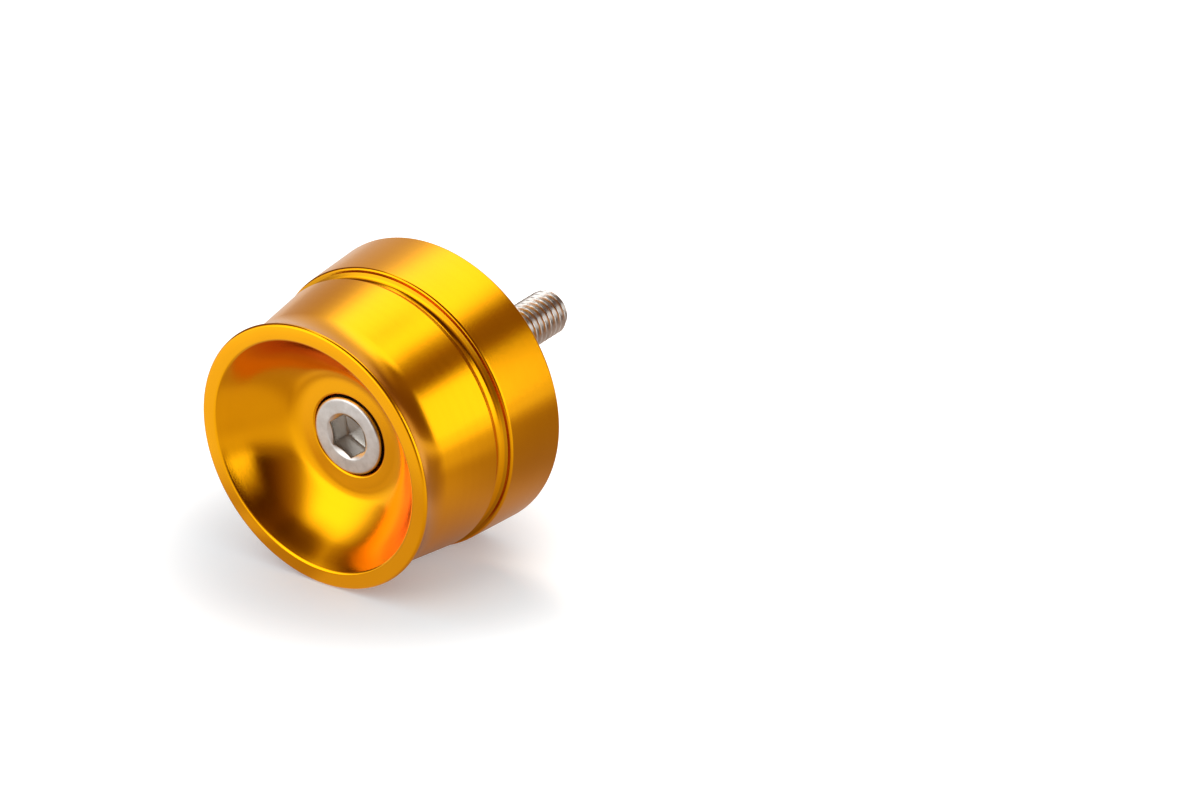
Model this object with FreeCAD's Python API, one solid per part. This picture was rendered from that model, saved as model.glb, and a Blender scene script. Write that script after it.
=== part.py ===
import FreeCAD, Part
import math
import os

# A handlebar end weight: a turned, dished aluminium weight on a socket head cap screw.
# The axis is Y. The dished end faces -Y, and the screw points into the handlebar along +Y.
# The origin is the centre of the boss's end face, where the screw comes out of the weight.
# Lengths are in millimetres, and angles in degrees.

# Lengths of the weight along its axis, from the rim to the boss
cone_length = 12.8
groove_width = 2.05
flange_length = 8.65
boss_length = 6.0

# Outside of the cone
rim_diameter = 34.1
rim_edge_round = 0.35
rim_flare_angle = 20.5
neck_from_rim = 2.8
neck_round = 8.0
cone_end_diameter = 35.5
cone_end_edge_round = 0.2

# Groove between the cone and the flange. Its back is a cove and a sloping wall below the flange's front face.
groove_floor_diameter = 33.7
groove_front_round = 0.44
groove_cove_round = 0.85
groove_wall_angle = 61.0
groove_wall_top_diameter = 35.4
groove_wall_top_round = 0.06

# Flange and boss
flange_front_diameter = 36.6
flange_front_edge_round = 0.35
flange_back_diameter = 38.0
flange_back_edge_round = 0.3
boss_diameter = 20.0
boss_chamfer = 0.3
boss_root_round = 0.3

# Dish in the outer end. A shallow lower slope and a steeper wall are blended by the bowl's round.
dish_mouth_diameter = 30.0
dish_mouth_round = 0.55
dish_depth = 6.85
dish_wall_angle = 55.5
dish_bowl_round = 13.5
dish_lower_angle = 30.0
dish_floor_diameter = 16.2
dish_floor_round = 5.0

# Socket head cap screw, size M6
screw_diameter = 6.0
screw_length = 35.0
screw_tip_chamfer = 0.55
head_diameter = 10.0
head_height = 6.0
head_edge_round = 0.35
head_root_round = 0.25
key_size = 5.0
key_depth = 3.1
key_clocking = 35.0
key_mouth_diameter = 6.1
key_mouth_angle = 120.0

# How the screw sits in the weight
head_clearance = 0.25
head_proud_of_dish = 0.35
screw_clearance = 0.3
counterbore_edge_round = 0.35
clearance_hole_chamfer = 0.2

# Places along the axis
boss_end_y = 0.0
flange_back_y = boss_end_y - boss_length
flange_front_y = flange_back_y - flange_length
cone_end_y = flange_front_y - groove_width
rim_y = cone_end_y - cone_length
neck_y = rim_y + neck_from_rim
dish_floor_y = rim_y + dish_depth
head_top_y = dish_floor_y - head_proud_of_dish
head_seat_y = head_top_y + head_height
screw_tip_y = head_seat_y + screw_length

# Holes that the screw needs. The chamfer at the seat clears the round under the screw's head.
counterbore_radius = head_diameter / 2 + head_clearance
clearance_hole_radius = screw_diameter / 2 + screw_clearance
seat_chamfer = max(clearance_hole_chamfer, head_root_round)

AXIS_POINT = FreeCAD.Vector(0, 0, 0)
AXIS = FreeCAD.Vector(0, 1, 0)


def setback(before, corner, after, radius):
    """How far from a corner a round of this radius meets the straight run on either side."""
    inside_angle = (before - corner).getAngle(after - corner)
    return radius / math.tan(inside_angle / 2)


def fitted_setbacks(points, radii):
    """The setback of each round, shortened only where a run is too short for the rounds at its ends."""
    count = len(points)
    wanted = [
        setback(points[i - 1], points[i], points[(i + 1) % count], radii[i])
        for i in range(count)
    ]
    fitted = list(wanted)
    for i in range(count):
        j = (i + 1) % count
        run = points[i].distanceToPoint(points[j])
        needed = wanted[i] + wanted[j]
        if needed > run:
            fitted[i] = min(fitted[i], wanted[i] * run / needed)
            fitted[j] = min(fitted[j], wanted[j] * run / needed)
    return fitted


def round_at(before, corner, after, distance):
    """The arc that is tangent to both runs this far from their corner."""
    to_before = (before - corner).normalize()
    to_after = (after - corner).normalize()
    start = corner + to_before * distance
    end = corner + to_after * distance
    half_angle = to_before.getAngle(to_after) / 2
    radius = distance * math.tan(half_angle)
    middle_of_corner = (to_before + to_after).normalize()
    middle = corner + middle_of_corner * (radius / math.sin(half_angle) - radius)
    return Part.Arc(start, middle, end).toShape()


def rounded_outline(corners):
    """A closed outline through corners given as (distance from the axis, place along it, round)."""
    points = [FreeCAD.Vector(radius, y, 0) for radius, y, _ in corners]
    radii = [rounding for _, _, rounding in corners]
    setbacks = fitted_setbacks(points, radii)
    count = len(points)
    edges = []
    for i in range(count):
        j = (i + 1) % count
        along = (points[j] - points[i]).normalize()
        if setbacks[i] > 0:
            edges.append(round_at(points[i - 1], points[i], points[j], setbacks[i]))
        start = points[i] + along * setbacks[i]
        end = points[j] - along * setbacks[j]
        if start.distanceToPoint(end) > 1e-4:
            edges.append(Part.LineSegment(start, end).toShape())
    return Part.Wire(Part.__sortEdges__(edges))


def turned(corners):
    """A solid of revolution about the axis."""
    return Part.Face(rounded_outline(corners)).revolve(AXIS_POINT, AXIS, 360)


def sharp_radius(diameter, rounding, lean):
    """Where a flat face and a side that leans in from it by this angle meet before their edge is rounded."""
    lean = math.radians(lean)
    return diameter / 2 + rounding * (math.tan(lean) + 1 / math.cos(lean) - 1)


def outside_corners():
    """The outside of the weight, from the rim to the end of the boss."""
    rim_radius = sharp_radius(rim_diameter, rim_edge_round, rim_flare_angle)
    neck_radius = rim_radius - neck_from_rim * math.tan(math.radians(rim_flare_angle))
    groove_floor_radius = groove_floor_diameter / 2
    wall_top_radius = groove_wall_top_diameter / 2
    wall_rise = wall_top_radius - groove_floor_radius
    wall_run = wall_rise / math.tan(math.radians(groove_wall_angle))
    flange_taper = (flange_back_diameter - flange_front_diameter) / 2
    flange_lean = math.degrees(math.atan2(flange_taper, flange_length))
    flange_back_radius = sharp_radius(flange_back_diameter, flange_back_edge_round, flange_lean)
    boss_radius = boss_diameter / 2
    return [
        (rim_radius, rim_y, rim_edge_round),
        (neck_radius, neck_y, neck_round),
        (cone_end_diameter / 2, cone_end_y, cone_end_edge_round),
        (groove_floor_radius, cone_end_y, groove_front_round),
        (groove_floor_radius, flange_front_y - wall_run, groove_cove_round),
        (wall_top_radius, flange_front_y, groove_wall_top_round),
        (flange_front_diameter / 2, flange_front_y, flange_front_edge_round),
        (flange_back_radius, flange_back_y, flange_back_edge_round),
        (boss_radius, flange_back_y, boss_root_round),
        (boss_radius, boss_end_y - boss_chamfer, 0),
        (boss_radius - boss_chamfer, boss_end_y, 0),
    ]


def bore_corners():
    """The stepped bore that the screw fills, from the end of the boss to the floor of the dish."""
    return [
        (clearance_hole_radius + clearance_hole_chamfer, boss_end_y, 0),
        (clearance_hole_radius, boss_end_y - clearance_hole_chamfer, 0),
        (clearance_hole_radius, head_seat_y + seat_chamfer, 0),
        (clearance_hole_radius + seat_chamfer, head_seat_y, 0),
        (counterbore_radius, head_seat_y, 0),
        (counterbore_radius, dish_floor_y, counterbore_edge_round),
    ]


def dish_corners():
    """The dish, from its flat floor up the lower slope and the wall to the mouth in the rim's face."""
    mouth_radius = dish_mouth_diameter / 2
    floor_radius = dish_floor_diameter / 2
    wall_slope = math.tan(math.radians(dish_wall_angle))
    lower_slope = math.tan(math.radians(dish_lower_angle))
    meeting = mouth_radius * wall_slope - floor_radius * lower_slope - dish_depth
    bend_radius = meeting / (wall_slope - lower_slope)
    bend_depth = (mouth_radius - bend_radius) * wall_slope
    return [
        (floor_radius, dish_floor_y, dish_floor_round),
        (bend_radius, rim_y + bend_depth, dish_bowl_round),
        (mouth_radius, rim_y, dish_mouth_round),
    ]


def weight_body():
    """The turned weight: waisted cone, groove, tapered flange and boss outside, dish and bore inside."""
    return turned(outside_corners() + bore_corners() + dish_corners())


def screw_blank():
    """The cap screw before its key socket is made."""
    shank_radius = screw_diameter / 2
    head_radius = head_diameter / 2
    return turned([
        (0, head_top_y, 0),
        (head_radius, head_top_y, head_edge_round),
        (head_radius, head_seat_y, 0),
        (shank_radius, head_seat_y, head_root_round),
        (shank_radius, screw_tip_y - screw_tip_chamfer, 0),
        (shank_radius - screw_tip_chamfer, screw_tip_y, 0),
        (0, screw_tip_y, 0),
    ])


def key_hexagon():
    """The hexagonal part of the key socket."""
    corner_radius = key_size / 2 / math.cos(math.radians(30))
    corners = []
    for i in range(7):
        angle = math.radians(key_clocking + 60 * i)
        corner = FreeCAD.Vector(corner_radius * math.cos(angle), head_top_y, corner_radius * math.sin(angle))
        corners.append(corner)
    return Part.Face(Part.makePolygon(corners)).extrude(AXIS * key_depth)


def key_mouth():
    """The conical mouth that leads a key into the hexagon, and leaves its edge scalloped."""
    mouth_radius = key_mouth_diameter / 2
    flat_radius = key_size / 2
    depth = (mouth_radius - flat_radius) / math.tan(math.radians(key_mouth_angle / 2))
    return Part.makeCone(mouth_radius, flat_radius, depth, FreeCAD.Vector(0, head_top_y, 0), AXIS)


def cap_screw():
    """The socket head cap screw, with its shank plain over the nominal thread diameter."""
    return screw_blank().cut(key_hexagon()).cut(key_mouth())


def save(node, shape):
    """Write one solid as parts/NODE.step."""
    solid = shape.Solids[0]
    print(node, "valid" if solid.isValid() else "NOT VALID", round(solid.Volume, 2), "mm3")
    solid.exportStep("parts/" + node + ".step")


os.makedirs("parts", exist_ok=True)
save("weight_body", weight_body())
save("cap_screw", cap_screw())
print("rim at y", round(rim_y, 3), "screw tip at y", round(screw_tip_y, 3))
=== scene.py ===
import bmesh
import bpy
import math
import numpy as np
from mathutils import Matrix, Vector


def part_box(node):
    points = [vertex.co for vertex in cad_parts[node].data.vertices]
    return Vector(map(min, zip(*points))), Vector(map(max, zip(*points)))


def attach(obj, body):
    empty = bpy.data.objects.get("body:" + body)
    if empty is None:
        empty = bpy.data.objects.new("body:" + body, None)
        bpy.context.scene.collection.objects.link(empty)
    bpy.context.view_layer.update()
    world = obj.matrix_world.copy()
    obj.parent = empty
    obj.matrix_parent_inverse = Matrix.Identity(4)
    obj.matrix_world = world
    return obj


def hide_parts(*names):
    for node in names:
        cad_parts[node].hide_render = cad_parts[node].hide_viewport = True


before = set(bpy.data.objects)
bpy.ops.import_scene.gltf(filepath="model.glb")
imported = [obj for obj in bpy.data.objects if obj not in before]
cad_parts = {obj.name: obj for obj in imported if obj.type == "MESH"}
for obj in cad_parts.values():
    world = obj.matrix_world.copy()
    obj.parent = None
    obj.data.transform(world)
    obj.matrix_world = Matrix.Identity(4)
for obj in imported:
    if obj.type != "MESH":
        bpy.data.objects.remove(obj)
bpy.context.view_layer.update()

# A handlebar end weight: a dished weight of gold anodised aluminium on a stainless socket head cap screw.
# The axis is Y and the dish faces -Y. Sizes are in millimetres until MM turns them into metres.
MM = 0.001
DEGREES = 180 / math.pi

# Places along the axis
HEAD_HEIGHT = 6.0
HEAD_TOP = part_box("cap_screw")[0].y / MM
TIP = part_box("cap_screw")[1].y / MM
SEAT = HEAD_TOP + HEAD_HEIGHT


class Nodes:
    """Short ways to add shader nodes to one tree."""

    def __init__(self, tree):
        self.tree = tree

    def add(self, kind, **settings):
        node = self.tree.nodes.new(kind)
        for name, value in settings.items():
            setattr(node, name, value)
        return node

    def put(self, socket, value):
        """Link the socket to another node's output, or set its value."""
        if isinstance(value, bpy.types.NodeSocket):
            self.tree.links.new(value, socket)
        else:
            socket.default_value = value

    def math(self, operation, *values):
        node = self.add("ShaderNodeMath", operation=operation)
        for i, value in enumerate(values):
            self.put(node.inputs[i], value)
        return node.outputs[0]

    def plus(self, a, b):
        return self.math("ADD", a, b)

    def times(self, a, b):
        return self.math("MULTIPLY", a, b)

    def length(self, a, b):
        """The length of a vector with two parts at right angles."""
        return self.math("SQRT", self.plus(self.times(a, a), self.times(b, b)))

    def dot(self, vector, direction):
        node = self.add("ShaderNodeVectorMath", operation="DOT_PRODUCT")
        self.put(node.inputs[0], vector)
        node.inputs[1].default_value = direction
        return node.outputs["Value"]

    def rise(self, value, low, high):
        """0 below low and 1 above high, with a smooth step between them."""
        node = self.add("ShaderNodeMapRange", interpolation_type="SMOOTHSTEP")
        self.put(node.inputs["Value"], value)
        node.inputs["From Min"].default_value = low
        node.inputs["From Max"].default_value = high
        return node.outputs["Result"]

    def span(self, value, low, low_soft, high, high_soft):
        """1 between low and high and 0 outside, with soft ends."""
        up = self.rise(value, low - low_soft, low + low_soft)
        down = self.rise(value, high - high_soft, high + high_soft)
        return self.times(up, self.math("SUBTRACT", 1.0, down))

    def mix(self, factor, a, b):
        """From colour a to colour b."""
        node = self.add("ShaderNodeMix", data_type="RGBA")
        self.put(node.inputs[0], factor)
        self.put(node.inputs[6], a)
        self.put(node.inputs[7], b)
        return node.outputs[2]

    def blend(self, factor, a, b):
        """From value a to value b."""
        node = self.add("ShaderNodeMix", data_type="FLOAT")
        self.put(node.inputs[0], factor)
        self.put(node.inputs[2], a)
        self.put(node.inputs[3], b)
        return node.outputs[0]

    def join(self, x, y, z):
        node = self.add("ShaderNodeCombineXYZ")
        for i, value in enumerate((x, y, z)):
            self.put(node.inputs[i], value)
        return node.outputs[0]

    def noise(self, vector, scale, detail, rough):
        node = self.add("ShaderNodeTexNoise")
        self.put(node.inputs["Vector"], vector)
        node.inputs["Scale"].default_value = scale
        node.inputs["Detail"].default_value = detail
        node.inputs["Roughness"].default_value = rough
        return node.outputs["Fac"]

    def bump(self, height, strength, distance, normal=None):
        node = self.add("ShaderNodeBump")
        self.put(node.inputs["Height"], height)
        node.inputs["Strength"].default_value = strength
        node.inputs["Distance"].default_value = distance
        if normal is not None:
            self.put(node.inputs["Normal"], normal)
        return node.outputs["Normal"]


def new_material(name):
    material = bpy.data.materials.new(name)
    material.use_nodes = True
    nodes = Nodes(material.node_tree)
    shader = material.node_tree.nodes["Principled BSDF"]
    return material, nodes, shader


def turned_coordinates(nodes):
    """The plain coordinates in metres, the distance from the axis and the place along it in millimetres,
    and the angle round it in turns."""
    where = nodes.add("ShaderNodeTexCoord").outputs["Object"]
    split = nodes.add("ShaderNodeSeparateXYZ")
    nodes.put(split.inputs[0], where)
    x, y, z = split.outputs
    radius = nodes.times(nodes.length(x, z), 1 / MM)
    along = nodes.times(y, 1 / MM)
    angle = nodes.math("DIVIDE", nodes.math("ARCTAN2", z, x), 2 * math.pi)
    return where, radius, along, angle


# Gold: two close tones, fine specks, and painted shade: a darker line in the corner between the groove and
# the flange
GOLD_TONES = ((0.86, 0.358, 0.0015, 1), (0.885, 0.378, 0.002, 1))
GOLD_SPECK = (0.97, 0.45, 0.004, 1)
GOLD_SPECK_SHARE = 0.10
GOLD_CORNER_SHADE = (0.62, 0.27, 0.004, 1)
CORNER_SHADE_SPAN = (-14.84, 0.05, -14.56, 0.04)
CORNER_SHADE_RADIUS = 18.1
GOLD_ROUGHNESS = 0.13
GOLD_ROUGHNESS_VARIES = 0.03
GOLD_BUMP = 0.02 * MM


def anodised_gold():
    """Satin gold over fine turning marks, which are noise that changes only across and along the axis."""
    material, nodes, shader = new_material("anodised_gold")
    where, radius, along, _ = turned_coordinates(nodes)
    rings = nodes.join(radius, along, 0.0)
    fine_rings = nodes.noise(rings, scale=9.0, detail=3.0, rough=0.7)
    broad_rings = nodes.noise(rings, scale=1.3, detail=2.0, rough=0.5)
    grain = nodes.noise(where, scale=6500.0, detail=2.0, rough=0.6)
    cloud = nodes.noise(where, scale=140.0, detail=2.0, rough=0.5)
    speck = nodes.rise(grain, 0.25, 0.75)

    tone = nodes.plus(nodes.times(cloud, 0.6), nodes.times(broad_rings, 0.4))
    colour = nodes.mix(nodes.rise(tone, 0.3, 0.7), *GOLD_TONES)
    colour = nodes.mix(nodes.times(speck, GOLD_SPECK_SHARE), colour, GOLD_SPECK)
    # Painted shade: the corner between the groove and the flange is darkened
    inside = nodes.math("LESS_THAN", radius, CORNER_SHADE_RADIUS)
    corner = nodes.times(nodes.span(along, *CORNER_SHADE_SPAN), inside)
    nodes.put(shader.inputs["Base Color"], nodes.mix(corner, colour, GOLD_CORNER_SHADE))

    rough = nodes.plus(GOLD_ROUGHNESS, nodes.times(broad_rings, GOLD_ROUGHNESS_VARIES))
    rough = nodes.plus(rough, nodes.times(speck, GOLD_ROUGHNESS_VARIES))
    nodes.put(shader.inputs["Roughness"], rough)
    normal = nodes.bump(fine_rings, strength=0.15, distance=GOLD_BUMP)
    normal = nodes.bump(grain, strength=0.24, distance=GOLD_BUMP, normal=normal)
    nodes.put(shader.inputs["Normal"], normal)

    shader.inputs["Metallic"].default_value = 1.0
    shader.inputs["Anisotropic"].default_value = 0.25
    tangent = nodes.add("ShaderNodeTangent", direction_type="RADIAL", axis="Y")
    nodes.put(shader.inputs["Tangent"], tangent.outputs[0])
    shader.inputs["Coat Weight"].default_value = 0.03
    shader.inputs["Coat Roughness"].default_value = 0.14
    shader.inputs["Coat IOR"].default_value = 1.5
    coat_normal = nodes.bump(grain, strength=0.08, distance=GOLD_BUMP)
    nodes.put(shader.inputs["Coat Normal"], coat_normal)
    return material


# Steel: two close tones, and in the key socket one even tone near the darker of them, which is painted
# shade of the recess; the socket is also smoother, as on the shank
STEEL_TONES = ((0.56, 0.53, 0.50, 1), (0.68, 0.655, 0.63, 1))
STEEL_SOCKET_SHADE = (0.58, 0.56, 0.53, 1)
SOCKET_STARTS = (HEAD_TOP + 0.15, HEAD_TOP + 1.2)
SOCKET_ENDS = SEAT - 2.0
SOCKET_RADIUS = 3.2
STEEL_ROUGHNESS = 0.24
STEEL_ROUGHNESS_VARIES = 0.12
STEEL_SMOOTHER = 0.07
STEEL_TWIST = 0.4
STEEL_BUMP = 0.03 * MM


def stainless():
    """Plain stainless steel with faint marks of drawing and turning."""
    material, nodes, shader = new_material("stainless_steel")
    where, radius, along, angle = turned_coordinates(nodes)
    rings = nodes.join(radius, along, nodes.times(angle, STEEL_TWIST))
    drawn = nodes.noise(rings, scale=7.0, detail=3.0, rough=0.7)
    grain = nodes.noise(where, scale=5200.0, detail=3.0, rough=0.6)
    cloud = nodes.noise(where, scale=700.0, detail=3.0, rough=0.6)

    socket = nodes.times(nodes.rise(along, *SOCKET_STARTS), nodes.math("LESS_THAN", along, SOCKET_ENDS))
    socket = nodes.times(socket, nodes.math("LESS_THAN", radius, SOCKET_RADIUS))
    colour = nodes.mix(nodes.rise(cloud, 0.3, 0.7), *STEEL_TONES)
    # Painted shade: the key socket takes one even, slightly darker tone
    nodes.put(shader.inputs["Base Color"], nodes.mix(socket, colour, STEEL_SOCKET_SHADE))

    shank = nodes.math("GREATER_THAN", along, SEAT)
    smoother = nodes.times(nodes.math("MAXIMUM", socket, shank), STEEL_SMOOTHER)
    rough = nodes.plus(STEEL_ROUGHNESS, nodes.times(cloud, STEEL_ROUGHNESS_VARIES))
    nodes.put(shader.inputs["Roughness"], nodes.math("SUBTRACT", rough, smoother))
    normal = nodes.bump(drawn, strength=0.16, distance=STEEL_BUMP)
    normal = nodes.bump(grain, strength=0.22, distance=STEEL_BUMP, normal=normal)
    nodes.put(shader.inputs["Normal"], normal)
    shader.inputs["Metallic"].default_value = 1.0
    return material


GOLD = anodised_gold()
STEEL = stainless()


def circle(count):
    """Even angles round the axis, in radians."""
    return np.radians(np.arange(count) * 360.0 / count)


def quarter_round(steps):
    """The sine and cosine at each step of a quarter turn, without its start."""
    angles = [math.radians(90 * k / steps) for k in range(1, steps + 1)]
    return [(math.sin(a), math.cos(a)) for a in angles]


def add_object(name, mesh, material, sharp_angle):
    """A smooth object in the scene. Edges sharper than this angle in degrees stay sharp."""
    mesh.polygons.foreach_set("use_smooth", [True] * len(mesh.polygons))
    mesh.set_sharp_from_angle(angle=math.radians(sharp_angle))
    mesh.materials.append(material)
    added = bpy.data.objects.new(name, mesh)
    bpy.context.scene.collection.objects.link(added)
    return added


# The weight, turned again with finer steps through the rings of points of its CAD node.
# Points nearer to each other than SAME_PLACE, in the section, are on one ring.
WEIGHT_SIDES = 360
WEIGHT_SHARP_ANGLE = 25
SAME_PLACE = 0.004


def ring_places(mesh):
    """The places (radius, y) of a turned mesh's rings, and the ring that each vertex is on."""
    places, ring_of, seen = [], [], {}
    for vertex in mesh.vertices:
        radius = math.hypot(vertex.co.x, vertex.co.z) / MM
        y = vertex.co.y / MM
        key = (round(radius, 3), round(y, 3))
        if key not in seen:
            near = [
                i for i, (ring_radius, ring_y) in enumerate(places)
                if max(abs(ring_radius - radius), abs(ring_y - y)) < SAME_PLACE
            ]
            if not near:
                places.append((radius, y))
            seen[key] = near[0] if near else len(places) - 1
        ring_of.append(seen[key])
    return places, ring_of


def section_loop(mesh):
    """The rings' places in order round the section, by the shortest links that leave out no ring."""
    places, ring_of = ring_places(mesh)
    pairs = [sorted((ring_of[a], ring_of[b])) for a, b in (edge.vertices for edge in mesh.edges)]
    links = sorted({(math.dist(places[a], places[b]), a, b) for a, b in pairs if a != b})
    group = list(range(len(places)))
    joined = [[] for _ in places]
    for _, a, b in links:
        if group[a] != group[b]:
            old, new = group[a], group[b]
            group = [new if g == old else g for g in group]
            joined[a].append(b)
            joined[b].append(a)
    loop = [next(i for i, others in enumerate(joined) if len(others) == 1)]
    while len(loop) < len(places):
        loop.append(next(i for i in joined[loop[-1]] if i not in loop[-2:]))
    return [places[i] for i in loop]


def turned_mesh(name, loop, sides):
    """A closed mesh, turned from a closed section of places (radius, y)."""
    points = [(r * MM * math.cos(a), y * MM, r * MM * math.sin(a)) for r, y in loop for a in circle(sides)]
    faces = []
    for i in range(len(loop)):
        here = i * sides
        after = (i + 1) % len(loop) * sides
        for j in range(sides):
            k = (j + 1) % sides
            faces.append((here + j, here + k, after + k, after + j))
    mesh = bpy.data.meshes.new(name)
    mesh.from_pydata(points, [], faces)
    mesh.update()
    shape = bmesh.new()
    shape.from_mesh(mesh)
    bmesh.ops.recalc_face_normals(shape, faces=shape.faces)
    shape.to_mesh(mesh)
    shape.free()
    return mesh


def build_weight():
    loop = section_loop(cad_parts["weight_body"].data)
    mesh = turned_mesh("turned_weight", loop, WEIGHT_SIDES)
    weight = add_object("turned_weight", mesh, GOLD, WEIGHT_SHARP_ANGLE)
    normals = weight.modifiers.new("even_normals", "WEIGHTED_NORMAL")
    normals.mode = "FACE_AREA"
    normals.keep_sharp = True
    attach(weight, "root")
    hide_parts("weight_body")


# The cap screw's head, with its key socket and knurl
HEAD_SIDES = 360
HEAD_R = 5.0
HEAD_ROUND = 0.35
KEY_FLAT = 2.5
KEY_TURN = 35.0
KEY_DEPTH = 3.1
SOCKET_FLOOR = HEAD_TOP + KEY_DEPTH
MOUTH_R = 3.05
MOUTH_SLOPE = math.tan(math.radians(60))
KNURL_TEETH = 45
KNURL_DEPTH = 0.16
KNURL_FADE = 0.25
KNURL_TOP = HEAD_TOP + 0.75
KNURL_END = SEAT - 0.55

# Small edges of the head and its socket are eased by three points: one this far off the corner on each
# side, and one between them that lies a little inside the corner
EASE = 0.10
EASE_INSIDE = 0.03
MOUTH_EASE = 0.05
MOUTH_EASE_INSIDE = (0.015, 0.012)
LIP_EASE = 0.04
LIP_EASE_INSIDE = 0.005

# The cap screw's shank and thread
SHANK_SIDES = 90
SHANK_R = 3.0
ROOT_ROUND = 0.25
PITCH = 1.0
CREST = PITCH / 8
THREAD_DEPTH = 0.6134
THREAD_LENGTH = 24.0
THREAD_STEPS = 20
THREAD_START = TIP - THREAD_LENGTH
RUNOUT = 1.5
PLAIN_SHANK = (SEAT + 0.6, THREAD_START - 0.2)
TIP_CHAMFER = 0.55
SCREW_SHARP_ANGLE = 32


def hexagon(angles):
    """The key socket's radius at each angle."""
    part = (np.degrees(angles) - KEY_TURN) % 60.0 - 30.0
    return KEY_FLAT / np.cos(np.radians(part))


def flat_ring(sides, radius, y):
    """A ring of one radius at one place along the axis."""
    return np.full(sides, radius), np.full(sides, y)


def socket_rings():
    """Rings (radius, y) from the key socket's floor up its walls and out over its conical mouth."""
    wall = hexagon(circle(HEAD_SIDES))
    ones = np.ones(HEAD_SIDES)
    rings = [(wall * k, ones * SOCKET_FLOOR) for k in (0.25, 0.5, 0.75, 0.93)]
    rings.append((wall - EASE, ones * SOCKET_FLOOR))
    rings.append((wall - EASE_INSIDE, ones * (SOCKET_FLOOR - EASE_INSIDE)))
    rings.append((wall, ones * (SOCKET_FLOOR - EASE)))
    meets = HEAD_TOP + (MOUTH_R - wall) / MOUTH_SLOPE
    for k in (0.25, 0.5, 0.75):
        rings.append((wall, SOCKET_FLOOR + (meets - SOCKET_FLOOR) * k))
    rings.append((wall, meets + MOUTH_EASE))
    rings.append((wall + MOUTH_EASE_INSIDE[0], meets + MOUTH_EASE_INSIDE[1]))
    rings.append((wall + MOUTH_EASE, meets - MOUTH_EASE / MOUTH_SLOPE))
    rings.append((0.5 * (wall + MOUTH_R), 0.5 * (meets + HEAD_TOP)))
    rings.append(flat_ring(HEAD_SIDES, MOUTH_R - LIP_EASE, HEAD_TOP + LIP_EASE / MOUTH_SLOPE))
    rings.append(flat_ring(HEAD_SIDES, MOUTH_R, HEAD_TOP + LIP_EASE_INSIDE))
    rings.append(flat_ring(HEAD_SIDES, MOUTH_R + LIP_EASE, HEAD_TOP))
    return rings


def head_rings():
    """Rings over the head's face, its rounded edge and its knurled side to the seat."""
    flat_r = HEAD_R - HEAD_ROUND
    rings = [flat_ring(HEAD_SIDES, r, HEAD_TOP) for r in (3.4, 3.8, 4.2, 4.5, flat_r)]
    for sine, cosine in quarter_round(8):
        y = HEAD_TOP + HEAD_ROUND * (1 - cosine)
        rings.append(flat_ring(HEAD_SIDES, flat_r + HEAD_ROUND * sine, y))
    tooth = 0.5 - 0.5 * np.cos(circle(HEAD_SIDES) * KNURL_TEETH)
    tooth = KNURL_DEPTH * (1 - tooth ** 0.6)
    into_knurl = np.linspace(KNURL_TOP, KNURL_TOP + KNURL_FADE, 5)
    out_of_knurl = np.linspace(KNURL_END - KNURL_FADE, KNURL_END, 5)
    for y in np.concatenate([into_knurl, out_of_knurl]):
        fade = min(1.0, (y - KNURL_TOP) / KNURL_FADE, (KNURL_END - y) / KNURL_FADE)
        rings.append((HEAD_R - tooth * fade, np.full(HEAD_SIDES, y)))
    rings.append(flat_ring(HEAD_SIDES, HEAD_R, SEAT - EASE))
    rings.append(flat_ring(HEAD_SIDES, HEAD_R - EASE_INSIDE, SEAT - EASE_INSIDE))
    for r in (HEAD_R - EASE, 4.5, 4.0, 3.5):
        rings.append(flat_ring(HEAD_SIDES, r, SEAT))
    return rings


def thread_radius(y, angles):
    """The radius of a right-hand thread, from its run-out to the chamfer at the tip.
    It is halfway between a vee with flat crests and a wave, so that its crests and roots are soft."""
    phase = (y / PITCH + angles / (2 * math.pi)) % 1.0
    away = np.minimum(phase, 1.0 - phase) * PITCH
    vee = np.clip((away - CREST / 2) * math.sqrt(3), 0.0, THREAD_DEPTH)
    wave = THREAD_DEPTH * (0.5 - 0.5 * np.cos(2 * math.pi * away / PITCH))
    fade = np.clip((y - THREAD_START) / RUNOUT, 0.0, 1.0)
    depth = 0.5 * (vee + wave) * fade * fade * (3 - 2 * fade)
    return np.minimum(SHANK_R - depth, SHANK_R - TIP_CHAMFER + (TIP - y))


def shank_rings():
    """Rings from the seat along the plain shank and the thread, and over the tip's flat end."""
    root_r = SHANK_R + ROOT_ROUND
    rings = [flat_ring(SHANK_SIDES, root_r, SEAT)]
    for sine, cosine in quarter_round(5):
        y = SEAT + ROOT_ROUND * (1 - cosine)
        rings.append(flat_ring(SHANK_SIDES, root_r - ROOT_ROUND * sine, y))
    for y in np.linspace(*PLAIN_SHANK, 8):
        rings.append(flat_ring(SHANK_SIDES, SHANK_R, y))
    count = int(THREAD_LENGTH * THREAD_STEPS / PITCH)
    for i in range(count + 1):
        y = THREAD_START + THREAD_LENGTH * i / count
        rings.append((thread_radius(y, circle(SHANK_SIDES)), np.full(SHANK_SIDES, y)))
    end = rings[-1][0]
    for k in (0.8, 0.5, 0.2):
        rings.append((end * k, np.full(SHANK_SIDES, TIP)))
    return rings


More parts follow.
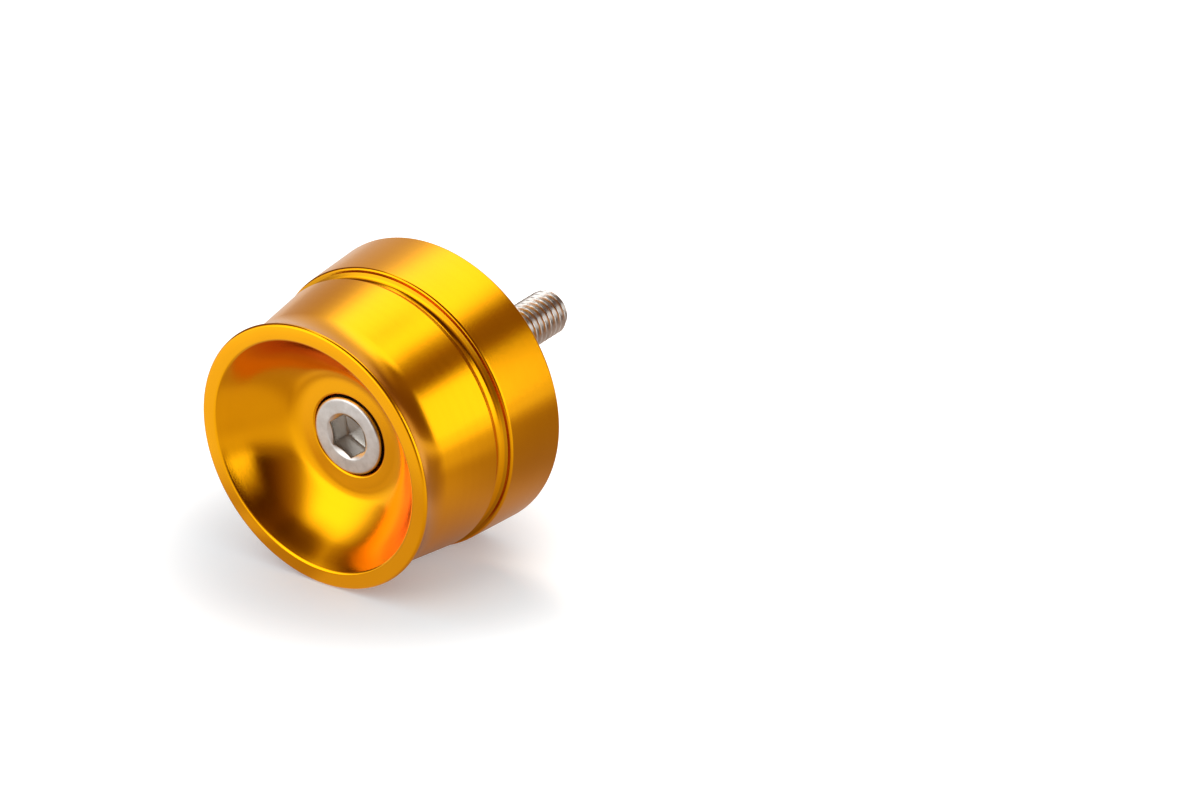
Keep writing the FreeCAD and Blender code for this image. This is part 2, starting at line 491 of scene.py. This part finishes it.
def ring_mesh(name, rings, first_y, last_y):
    """One closed mesh through rings of points. A ring may have fewer points than the one before it."""
    points, faces, starts = [(0.0, first_y, 0.0)], [], []
    for radius, y in rings:
        angles = circle(len(radius))
        starts.append((len(points), len(radius)))
        points.extend(zip(radius * np.cos(angles), y, radius * np.sin(angles)))
    points.append((0.0, last_y, 0.0))
    first, count = starts[0]
    for i in range(count):
        faces.append((0, first + i, first + (i + 1) % count))
    for (a, a_count), (b, b_count) in zip(starts, starts[1:]):
        step = a_count // b_count
        half = step // 2
        for i in range(b_count):
            j = (i + 1) % b_count
            if step == 1:
                faces.append((a + i, b + i, b + j, a + j))
                continue
            for k in range(step):
                near = b + (i if k < half else j)
                faces.append((a + i * step + k, near, a + (i * step + k + 1) % a_count))
            faces.append((a + i * step + half, b + i, b + j))
    last, count = starts[-1]
    for i in range(count):
        faces.append((last + i, len(points) - 1, last + (i + 1) % count))
    mesh = bpy.data.meshes.new(name)
    mesh.from_pydata([tuple(c * MM for c in point) for point in points], [], faces)
    mesh.update()
    return mesh


def build_screw():
    rings = socket_rings() + head_rings() + shank_rings()
    mesh = ring_mesh("socket_screw", rings, SOCKET_FLOOR, TIP)
    obj = add_object("socket_screw", mesh, STEEL, SCREW_SHARP_ANGLE)
    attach(obj, "root")
    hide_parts("cap_screw")


# Floor: it touches the rim's edge and the flange's back edge, so the axis leans by about 4.8 degrees
FLOOR_UP = Vector((0, 0.0842, 0.9964)).normalized()
FLOOR_POINT = Vector((0, -29.2, -17.07)) * MM
FLOOR_HALF_WIDTH = 3000 * MM

# Camera, from the photograph's angle
CAMERA_AT = Vector((230.6, -279.1, 176.1)) * MM
CAMERA_RIGHT = Vector((0.8116, 0.5826, -0.0443))
CAMERA_FORWARD = Vector((-0.5370, 0.7137, -0.4498)).normalized()
CAMERA_CLIP = 10 * MM
LENS = 97.35
SENSOR = 36.0

# Level directions of the studio, seen from the object: towards the camera, and to the camera's right
OBJECT_MIDDLE = Vector((0, -15, 0)) * MM
UNDER_MIDDLE = Vector((0, -15, -17)) * MM
TO_CAMERA = CAMERA_AT - OBJECT_MIDDLE
TO_CAMERA = (TO_CAMERA - TO_CAMERA.dot(FLOOR_UP) * FLOOR_UP).normalized()
TO_RIGHT = FLOOR_UP.cross(TO_CAMERA).normalized()

# Surroundings. The camera sees white, and the floor is lit by a plain white sky. The metal mirrors panels
# of light levels, each laid over those before it, on a level of WALL_LEVEL. A panel's values are its turn
# from and to, the softness of those two ends, its rise from and to, the softness of those, and its level.
# Turn is 0 towards the camera and positive to its right, rise is 0 at the horizon, both are in degrees.
ALL_ROUND = (-400, 400, (1, 1))
SKY_LIGHT = (1.0, 1.0, 1.0, 1)
WALL_LEVEL = 1.0
PANELS = [
    (-400, -150, (1, 14), -10, 33, (8, 8), 0.7),
    (150, 400, (14, 1), -10, 33, (8, 8), 0.7),
    (*ALL_ROUND, 44, 95, (9, 1), 2.15),
    (*ALL_ROUND, 70, 95, (3, 1), 0.6),
    (-96, 93, (3, 12), 45, 95, (13, 1), 0.05),
    (-160, -94, (18, 6), -40, 61, (8, 10), 0.06),
    (11, 127, (46, 14), -19, 52, (33, 6), 0.16),
    (90, 145, (1, 9), 7, 35, (7, 12), 0.10),
    (-40, 42, (50, 28), -60, 95, (6, 1), 0.02),
    (19, 70, (2, 20), -60, 30, (8, 5), 1.6),
    (39, 86.5, (32, 4), -60, 32.5, (8, 5), 1.95),
    (-96, -39, (24, 14), -60, 47, (8, 15), 2.2),
]

# The floor that the metal mirrors: its level grows with the distance from under the object, in millimetres.
# Patches are laid over it like the panels, with that distance in the place of the rise.
FLOOR_MIRRORED = (0.10, 0.10, 0.10, 1)
FLOOR_LEVEL = 0.06
FLOOR_LEVEL_SLOPE = 0.0135
FLOOR_LEVEL_REACH = 52
FLOOR_PATCHES = [
    (-100, -48, (10, 7), 9, 33, (5, 5), 0.33),
    (-48, -8, (7, 10), 9, 33, (5, 5), 0.58),
    (-84, -62, (6, 5), 24, 31, (3, 3), 0.62),
    (-110, -40, (12, 12), 40, 5000, (7, 1), 0.95),
    (-400, -150, (1, 10), 60, 5000, (30, 1), 0.62),
    (-35, 12, (12, 6), 76, 5000, (40, 1), 0.12),
    (-88, -46, (15, 13), 95, 5000, (34, 1), 2.0),
    (20, 81, (7, 8), 140, 5000, (105, 1), 1.5),
    (58, 112, (12, 8), 22, 60, (8, 14), 0.30),
    (72, 112, (13, 8), 25, 150, (10, 75), 0.17),
]

# The floor that the camera sees: the sky lights its colour, and this light is added. It is least in a soft
# patch near the object, whose edge is drawn in by SHADOW_CUT_DEPTH over a span of turn on the right.
FLOOR_COLOUR = (0.92, 0.90, 0.88, 1)
FLOOR_LIGHT_UNDER = (0.20, 0.24, 0.26, 1)
FLOOR_LIGHT_NEAR = (0.03, 0.10, 0.15, 1)
FLOOR_LIGHT_AWAY = (0.50, 0.50, 0.50, 1)
UNDER_TO_NEAR = (5, 14)
NEAR_TO_AWAY = (21, 42)
SHADOW_CUT = (52, 14, 150, 20)
SHADOW_CUT_DEPTH = 14


def patched(nodes, level, turn, other, table):
    """A light level with patches of other levels laid over it, by spans of turn and of rise or distance."""
    for turn_from, turn_to, turn_soft, low, high, soft, patch in table:
        mask = nodes.span(other, low, soft[0], high, soft[1])
        if turn_to - turn_from < 360:
            sector = nodes.span(turn, turn_from, turn_soft[0], turn_to, turn_soft[1])
            mask = nodes.times(mask, sector)
        level = nodes.blend(mask, level, patch)
    return level


def warmed(nodes, level):
    """The colour of a light level: neutral from 1 up, and warmer the dimmer it is below that."""
    red = nodes.math("MAXIMUM", level, nodes.math("POWER", level, 0.73))
    blue = nodes.math("MINIMUM", level, nodes.math("POWER", level, 1.2))
    return nodes.join(red, level, blue)


def turn_towards(nodes, ahead, right):
    """The turn of a direction, from its parts towards the camera and to the camera's right."""
    return nodes.times(nodes.math("ARCTAN2", right, ahead), DEGREES)


def floor_white():
    material, nodes, shader = new_material("floor_white")
    shader.inputs["Roughness"].default_value = 1.0
    shader.inputs["Specular IOR Level"].default_value = 0.0
    away = nodes.add("ShaderNodeVectorMath", operation="SUBTRACT")
    nodes.put(away.inputs[0], nodes.add("ShaderNodeNewGeometry").outputs["Position"])
    away.inputs[1].default_value = UNDER_MIDDLE
    ahead = nodes.times(nodes.dot(away.outputs[0], TO_CAMERA), 1 / MM)
    right = nodes.times(nodes.dot(away.outputs[0], TO_RIGHT), 1 / MM)
    turn = turn_towards(nodes, ahead, right)
    distance = nodes.length(ahead, right)

    level = nodes.times(nodes.math("MINIMUM", distance, FLOOR_LEVEL_REACH), FLOOR_LEVEL_SLOPE)
    level = patched(nodes, nodes.plus(level, FLOOR_LEVEL), turn, distance, FLOOR_PATCHES)
    cut = nodes.times(nodes.span(turn, *SHADOW_CUT), SHADOW_CUT_DEPTH)
    light = nodes.mix(nodes.rise(distance, *UNDER_TO_NEAR), FLOOR_LIGHT_UNDER, FLOOR_LIGHT_NEAR)
    light = nodes.mix(nodes.rise(nodes.plus(distance, cut), *NEAR_TO_AWAY), light, FLOOR_LIGHT_AWAY)

    path = nodes.add("ShaderNodeLightPath")
    mirrored = nodes.math("MAXIMUM", path.outputs["Is Glossy Ray"], path.outputs["Is Transmission Ray"])
    seen = nodes.math("MAXIMUM", path.outputs["Is Camera Ray"], mirrored)
    nodes.put(shader.inputs["Base Color"], nodes.mix(mirrored, FLOOR_COLOUR, FLOOR_MIRRORED))
    nodes.put(shader.inputs["Emission Color"], nodes.mix(mirrored, light, warmed(nodes, level)))
    nodes.put(shader.inputs["Emission Strength"], seen)
    return material


def build_floor():
    side = FLOOR_UP.cross(Vector((1, 0, 0))).normalized()
    other = side.cross(FLOOR_UP).normalized()
    corners = []
    for a, b in ((-1, -1), (1, -1), (1, 1), (-1, 1)):
        corners.append(FLOOR_POINT + side * (FLOOR_HALF_WIDTH * a) + other * (FLOOR_HALF_WIDTH * b))
    mesh = bpy.data.meshes.new("floor")
    mesh.from_pydata(corners, [], [(0, 1, 2, 3)])
    mesh.materials.append(floor_white())
    floor = bpy.data.objects.new("floor", mesh)
    bpy.context.scene.collection.objects.link(floor)


def build_world():
    world = bpy.data.worlds.new("studio")
    world.use_nodes = True
    bpy.context.scene.world = world
    nodes = Nodes(world.node_tree)
    background = world.node_tree.nodes["Background"]
    direction = nodes.add("ShaderNodeTexCoord").outputs["Generated"]
    turn = turn_towards(nodes, nodes.dot(direction, TO_CAMERA), nodes.dot(direction, TO_RIGHT))
    rise = nodes.times(nodes.math("ARCSINE", nodes.dot(direction, FLOOR_UP)), DEGREES)
    colour = warmed(nodes, patched(nodes, WALL_LEVEL, turn, rise, PANELS))
    path = nodes.add("ShaderNodeLightPath")
    colour = nodes.mix(path.outputs["Is Diffuse Ray"], colour, SKY_LIGHT)
    colour = nodes.mix(path.outputs["Is Camera Ray"], colour, (1, 1, 1, 1))
    nodes.put(background.inputs["Color"], colour)
    background.inputs["Strength"].default_value = 1.0


def build_camera():
    right = (CAMERA_RIGHT - CAMERA_RIGHT.dot(CAMERA_FORWARD) * CAMERA_FORWARD).normalized()
    up = right.cross(CAMERA_FORWARD)
    rotation = Matrix((right, up, -CAMERA_FORWARD)).transposed()
    data = bpy.data.cameras.new("camera")
    data.lens = LENS
    data.sensor_width = SENSOR
    data.clip_start = CAMERA_CLIP
    camera = bpy.data.objects.new("camera", data)
    camera.matrix_world = Matrix.Translation(CAMERA_AT) @ rotation.to_4x4()
    bpy.context.scene.collection.objects.link(camera)
    bpy.context.scene.camera = camera


build_weight()
build_screw()
build_floor()
build_world()
build_camera()

scene = bpy.context.scene
scene.view_settings.view_transform = "Standard"
